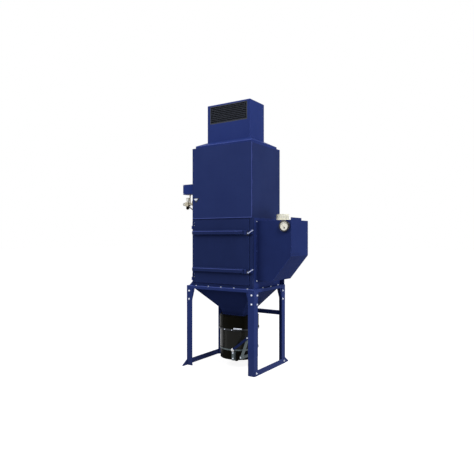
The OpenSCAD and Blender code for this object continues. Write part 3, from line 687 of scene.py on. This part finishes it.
for number, (side_x, side_y) in enumerate([(-1, -1), (1, -1), (-1, 1), (1, 1)], 1):
    place = side_x * CARTRIDGE_X, CARTRIDGE_Y + side_y * CARTRIDGE_STEP
    cloth = piece(f"pleated_cloth_{number}", "filter_media", pleated(*place))
    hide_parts(f"filter_cartridge_{number}")
piece("cartridge_caps", "galvanised", cartridge_caps, soft=True)


# ---------------------------------------------------------------- inlet box and gauge
def strip_bolts(heights, across):
    """Bolts down both mounting strips of the inlet box."""
    rows = [((0.454, y, z), RIGHT) for y in (-0.2515, 0.2335) for z in heights]
    return lambda bm: bolts(bm, rows, across)


def collar_screws(bm):
    """Screws of the collar that holds the spigot."""
    for k in range(8):
        angle = math.pi * (k + 0.5) / 4
        out = Vector((math.cos(angle), math.sin(angle), 0))
        screw(bm, SPIGOT + out * 0.086 + Vector((0, 0, 0.0025)), UP, 0.004)


def spigot_rim(bm):
    """Rolled mouth, bead and collar of the spigot."""
    wall = SPIGOT_RADIUS + 0.0002
    bead(bm, SPIGOT + Vector((0, 0, 0.0735)), UP, 0.0735, 0.0024)
    bead(bm, SPIGOT + Vector((0, 0, 0.052)), UP, wall, 0.0016)
    collar = [(wall, 0.0), (wall, 0.006), (0.079, 0.0026), (0.094, 0.0024), (0.094, 0.0)]
    lathe(bm, SPIGOT, UP, collar, 64)


def inlet_edges(bm):
    """Weld beads along the folded edges of the inlet box."""
    outer = 0.8985
    for y in INLET_FACES:
        weld_line(bm, (0.6605, y, 1.1085), (outer, y, 1.4035), 0.0018)
        weld_line(bm, (outer, y, 1.4045), (outer, y, 1.8200), 0.0015)


piece("strip_bolts_painted", "paint", strip_bolts((1.278, 1.456, 1.634), 0.011))
piece("strip_bolts_plated", "zinc", strip_bolts((1.10, 1.808), 0.010))
piece("collar_screws", "zinc", collar_screws, soft=True)
piece("spigot_rim", "galvanised", spigot_rim, soft=True)
piece("inlet_edges", "paint", inlet_edges, soft=True)

SCALE_MARKS, SCALE_START, SCALE_SWEEP, SCALE_RADIUS = 31, 145, 110, 0.058
BRICK = ((0, 1, 3, 2), (4, 6, 7, 5), (0, 4, 5, 1), (2, 3, 7, 6), (0, 2, 6, 4), (1, 5, 7, 3))
WEDGE = ((0, 1, 2), (5, 4, 3), (0, 3, 4, 1), (1, 4, 5, 2), (2, 5, 3, 0))


def solid(bm, corners, faces):
    verts = [bm.verts.new(corner) for corner in corners]
    for face in faces:
        bm.faces.new([verts[k] for k in face])


def dial_marks(bm):
    """Scale, pointer and the dark boss over the pointer's pivot."""
    for k in range(SCALE_MARKS):
        angle = math.radians(SCALE_START - k * SCALE_SWEEP / (SCALE_MARKS - 1))
        length, width = (0.010, 0.0009) if k % 5 == 0 else (0.005, 0.0005)
        matrix = Matrix.Translation(PIVOT) @ Matrix.Rotation(-angle, 4, "Y")
        corners = [matrix @ Vector((x, y, z)) for x in (SCALE_RADIUS - length, SCALE_RADIUS)
                   for y in (-0.0004, 0.0002) for z in (-width, width)]
        solid(bm, corners, BRICK)
    tip = PIVOT + Vector((-0.030, -0.0022, 0.036))
    root = PIVOT + Vector((0, -0.0022, 0))
    side = Vector((0.0012, 0, 0.0010))
    top = [root - side, root + side, tip]
    solid(bm, top + [point + Vector((0, 0.0008, 0)) for point in top], WEDGE)
    lathe(bm, PIVOT, FRONT, [(0.0085, 0), (0.0085, 0.002), (0.0075, 0.0032), (0, 0.0034)], 28)


def gauge_rim(bm):
    """Black ring round the dial and the seam of the case."""
    rim = [(0.0510, 0.0), (0.0510, 0.0050), (0.0530, 0.0062), (0.0610, 0.0058), (0.0650, 0.0040),
           (0.0662, 0.0), (0.0650, -0.004), (0.0592, -0.006)]
    seam = [(0.0592, -0.018), (0.0608, -0.0195), (0.0608, -0.0235), (0.0590, -0.0239)]
    for profile in (rim, seam):
        lathe(bm, GAUGE, FRONT, profile, 64)


piece("dial_marks", "bezel", dial_marks)
piece("gauge_rim", "bezel", gauge_rim, soft=True)

# ---------------------------------------------------------------- control box and air fittings
LID_FRONT = -0.3085


def box_lid(bm):
    box(bm, (-0.626, LID_FRONT, 2.180), (-0.454, -0.3045, 2.300), 0.0012)


def box_screws(bm):
    for x in (-0.618, -0.462):
        for z in (2.188, 2.292):
            screw(bm, (x, LID_FRONT, z), FRONT, 0.004)


def cable_glands(bm):
    """Two cable glands under the control box."""
    gland = [(0.011, 0), (0.011, 0.007), (0.0095, 0.008), (0.0095, 0.016), (0.006, 0.020), (0, 0.020)]
    for x, y in ((-0.500, -0.245), (-0.478, -0.225)):
        lathe(bm, (x, y, 2.176), DOWN, gland, 6)


piece("box_lid", "blue_box", box_lid)
piece("box_screws", "zinc", box_screws, soft=True)
piece("cable_glands", "tyre", cable_glands)


def air_nuts(bm):
    """Union nuts on the air pipes and screws of the wall plate."""
    nut = [(0, 0), (0.0125, 0), (0.0140, 0.0015), (0.0140, 0.0085), (0.0125, 0.010), (0, 0.010)]
    for x in (-0.546, -0.522, -0.466):
        lathe(bm, (x, AIR_Y, AIR_Z), RIGHT, nut, 6)
    riser = -0.534
    lathe(bm, (riser, AIR_Y, AIR_Z + 0.012), UP, nut, 6)
    lathe(bm, (riser, AIR_Y, 2.166), UP,
          [(0, 0), (0.0125, 0), (0.0140, 0.0015), (0.0140, 0.0095), (0, 0.0098)], 6)
    for y in (-0.300, -0.260):
        for z in (2.016, 2.084):
            screw(bm, (-0.456, y, z), LEFT, 0.004)


def valve_body(bm):
    """Cast body of the shut-off valve between the regulator and the wall."""
    lathe(bm, (-0.5135, AIR_Y, AIR_Z), RIGHT,
          [(0.0082, 0), (0.015, 0.001), (0.017, 0.004), (0.017, 0.010), (0.021, 0.014),
           (0.022, 0.022), (0.021, 0.030), (0.017, 0.034), (0.017, 0.040), (0.015, 0.044),
           (0.0082, 0.045)], 28)
    lathe(bm, (-0.491, AIR_Y, AIR_Z + 0.018), UP,
          [(0.010, 0), (0.010, 0.014), (0.008, 0.016), (0, 0.016)], 20)


def valve_handle(bm):
    """Lever of the valve, and the air line from the bowl to the wall with its rose."""
    box(bm, (-0.497, AIR_Y - 0.007, AIR_Z + 0.034), (-0.458, AIR_Y + 0.007, AIR_Z + 0.040), 0.002)
    line = [(-0.5600, 2.024), (-0.540, 2.010), (-0.500, 1.984), (-0.470, 1.966), (-0.449, 1.956)]
    tube(bm, [Vector((x, AIR_Y, z)) for x, z in line], 0.0075, 16)
    rose = [(0.016, 0), (0.016, 0.003), (0.013, 0.006), (0.008, 0.007)]
    lathe(bm, (-0.4500, AIR_Y, 1.956), LEFT, rose, 24)


piece("air_nuts", "fitting", air_nuts)
piece("valve_body", "fitting", valve_body, soft=True)
piece("valve_handle", "bezel", valve_handle)


def meter_face(bm):
    lathe(bm, METER, FRONT, [(0, 0.0006), (0.0150, 0.0006), (0.0150, 0)], 32)


def meter_rim(bm):
    """Rim, hub and pointer of the small pressure meter."""
    lathe(bm, METER, FRONT, [(0.0150, 0.0), (0.0150, 0.003), (0.0170, 0.004), (0.0187, 0.002),
                             (0.01895, -0.015), (0.0187, -0.0155)], 32)
    lathe(bm, METER, FRONT, [(0.0022, 0.0006), (0.0022, 0.0016), (0, 0.0018)], 12)
    box(bm, (-0.6265, -0.2894, AIR_Z), (-0.6255, -0.2888, AIR_Z + 0.012))


piece("meter_face", "dial", meter_face)
piece("meter_rim", "bezel", meter_rim, soft=True)


def ribs(count, circle, low, high, radius):
    """Upright ribs round the axis of the regulator."""
    def build(bm):
        for k in range(count):
            angle = 2 * math.pi * k / count
            at = Vector((REGULATOR_X + circle * math.cos(angle), AIR_Y + circle * math.sin(angle), 0))
            tube(bm, [at + Vector((0, 0, low)), at + Vector((0, 0, high))], radius, 6)
    return build


piece("regulator_grip", "light_grey", ribs(20, 0.0218, 2.092, 2.132, 0.0016))
piece("bowl_ribs", "black_paint", ribs(12, 0.0198, 1.988, 2.022, 0.0014))


# ---------------------------------------------------------------- drum, clamp and lift linkage
def drum_beads(bm):
    """Rolled beads of the drum, its hood and the dolly."""
    for z, radius, thick in ((0.2470, 0.2432, 0.0022), (0.4660, 0.2432, 0.0022),
                             (0.4975, 0.2492, 0.0020), (0.6365, 0.2490, 0.0018),
                             (0.1135, 0.2388, 0.0018)):
        bead(bm, (DRUM_X, 0, z), UP, radius, thick, 96)


def outward(degrees):
    angle = math.radians(degrees)
    return Vector((math.cos(angle), math.sin(angle), 0))


def clamp_bolts(bm):
    """Bolts of the clamp ring's closing and of its joints."""
    for degrees in (-78, -102, 12, 168, 90):
        out = outward(degrees)
        bolt(bm, Vector((DRUM_X, 0, CLAMP_Z)) + out * CLAMP_RADIUS, out, 0.009)


def link_bolts(bm):
    places = [(0.337, -0.2723, 0.414), (0.235, -0.257, 0.162), (0.119, -0.257, 0.137),
              (0.119, -0.257, 0.203)]
    bolts(bm, [(place, FRONT) for place in places], 0.014)


def castor_parts(bm):
    """Swivel rings and axle nuts of the castors."""
    collar = [(0, 0), (0.022, 0), (0.024, 0.002), (0.024, 0.0055), (0, 0.0055)]
    trail, rise = 0.014, 0.094
    for degrees in (20, 110, 200, 290):
        out = outward(degrees)
        axle = Vector((DRUM_X, 0, CASTOR_Z)) + out * CASTOR_CIRCLE
        for side in (-1, 1):
            bolt(bm, axle + out * side * 0.0165, out * side, 0.011)
        swivel = axle + Vector((0, 0, rise)) - Vector((-out.y, out.x, 0)) * trail
        lathe(bm, swivel, UP, collar, 24)


piece("drum_beads", "black_paint", drum_beads, soft=True)
piece("clamp_bolts", "zinc", clamp_bolts)
piece("link_bolts", "zinc", link_bolts)
piece("castor_parts", "zinc", castor_parts)


# ---------------------------------------------------------------- stage and light
def seen_ray(tree):
    """1 for rays of the camera, of gloss and through glass, which show the white background."""
    rays = add(tree, "ShaderNodeLightPath").outputs
    seen = add(tree, "ShaderNodeMath", {0: rays["Is Camera Ray"], 1: rays["Is Glossy Ray"]},
               operation="MAXIMUM")
    return add(tree, "ShaderNodeMath", {0: seen.outputs[0], 1: rays["Is Transmission Ray"]},
               operation="MAXIMUM").outputs[0]


def stage_material():
    """Pale floor: white with the object's soft shadow where the camera, gloss or glass sees it."""
    material = bpy.data.materials.new("floor_material")
    material.use_nodes = True
    tree = material.node_tree
    tree.nodes.clear()
    out = tree.nodes.new("ShaderNodeOutputMaterial")
    matt = add(tree, "ShaderNodeBsdfDiffuse", {"Color": linear("#a8a8a8")})
    half = add(tree, "ShaderNodeBsdfDiffuse", {"Color": (0.42, 0.42, 0.42, 1)})
    glow = add(tree, "ShaderNodeEmission", {"Color": (1, 1, 1, 1), "Strength": 0.87})
    pale = add(tree, "ShaderNodeAddShader", {0: half.outputs[0], 1: glow.outputs[0]})
    seen = {0: seen_ray(tree), 1: matt.outputs[0], 2: pale.outputs[0]}
    tree.links.new(add(tree, "ShaderNodeMixShader", seen).outputs[0], out.inputs[0])
    return material


def flat_plane(name, size, z):
    mesh = bpy.data.meshes.new(name)
    corners = [(-size, -size, z), (size, -size, z), (size, size, z), (-size, size, z)]
    mesh.from_pydata(corners, [], [(0, 1, 2, 3)])
    plane = bpy.data.objects.new(name, mesh)
    scene.collection.objects.link(plane)
    return plane


floor = flat_plane("floor", 60, 0)
floor.data.materials.append(stage_material())

world = bpy.data.worlds.new("world")
scene.world = world
world.use_nodes = True
tree = world.node_tree
tree.nodes.clear()
soft = add(tree, "ShaderNodeBackground", {"Color": (0.80, 0.82, 0.86, 1), "Strength": 0.44})
white = add(tree, "ShaderNodeBackground", {"Color": (1, 1, 1, 1), "Strength": 1.0})
both = add(tree, "ShaderNodeMixShader", {0: seen_ray(tree), 1: soft.outputs[0], 2: white.outputs[0]})
tree.links.new(both.outputs[0], add(tree, "ShaderNodeOutputWorld").inputs[0])


def lamp(name, place, target, size, power):
    """A square area lamp that the camera doesn't see."""
    data = bpy.data.lights.new(name, "AREA")
    data.shape = "RECTANGLE"
    data.size = data.size_y = size
    data.energy = power
    item = bpy.data.objects.new(name, data)
    item.location = place
    item.visible_camera = False
    item.rotation_euler = (Vector(target) - Vector(place)).to_track_quat("-Z", "Y").to_euler()
    scene.collection.objects.link(item)


lamp("key", (4.6, -2.2, 5.6), (0.2, 0, 2.2), 2.5, 205)
lamp("fill", (-2.2, -4.6, 4.8), (0, 0, 2.2), 3.0, 135)
lamp("top", (0.5, 0.5, 6.5), (0, 0, 2.0), 3.0, 80)
lamp("side", (3.3, 0.8, 1.2), (0.9, 0, 1.4), 1.0, 27)
